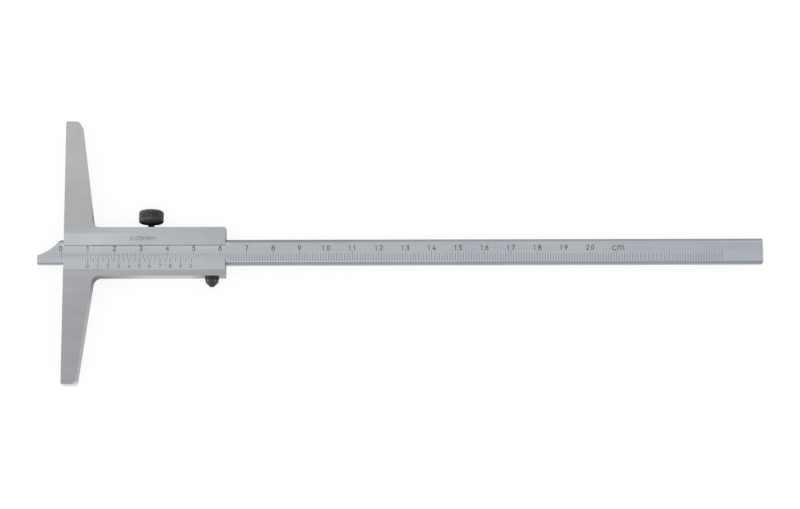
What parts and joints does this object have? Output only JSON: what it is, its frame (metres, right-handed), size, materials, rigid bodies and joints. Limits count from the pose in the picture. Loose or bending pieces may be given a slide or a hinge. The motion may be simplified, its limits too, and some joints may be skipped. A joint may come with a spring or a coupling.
{
  "type": "vernier depth gauge",
  "caption": "Vernier depth gauge: a T-shaped bridge with a graduated beam that slides through it, a vernier window, a knurled lock screw and a thumb stud.",
  "frame": {"origin": "on the measuring face, at the beam's centre line and the gauge's back", "axes": "+X along the beam, away from the nose; +Y along the bridge, towards the lock screw; +Z out of the graduated side"},
  "size_m": [0.2746, 0.1006, 0.0094],
  "materials": {
    "satin_steel": "satin chrome on ground steel",
    "beam_steel": "satin chrome, ground along its length",
    "gib_brass": "rolled strip",
    "pad_brass": "turned",
    "screw_steel": "plain turned steel",
    "black_steel": "black oxide on knurled steel",
    "stud_black": "black oxide on turned steel"
  },
  "bodies": {
    "frame": {"frame": "satin_steel", "gib": "gib_brass", "gib_screws": "screw_steel", "thumb_stud": "stud_black"},
    "beam": {"beam": "beam_steel"},
    "clamp_pad": {"clamp_pad": "pad_brass"},
    "lock_screw": {"lock_screw": "black_steel"}
  },
  "joints": [
    {"name": "beam_slide", "type": "slide", "parent": "frame", "child": "beam", "axis": [-1, 0, 0], "range_m": [-0.01015, 0.18985]},
    {"name": "clamp_travel", "type": "slide", "parent": "frame", "child": "clamp_pad", "axis": [0, 1, 0], "range_m": [0, 0.0005]},
    {"name": "lock_turn", "type": "hinge", "parent": "clamp_pad", "child": "lock_screw", "pos_m": [0.0326, 0, 0.0038], "axis": [0, 1, 0], "range_deg": [0, 360]}
  ],
  "couplings": [
    {"joint": "lock_turn", "follows": "clamp_travel", "rad_per_m": 12566}
  ]
}
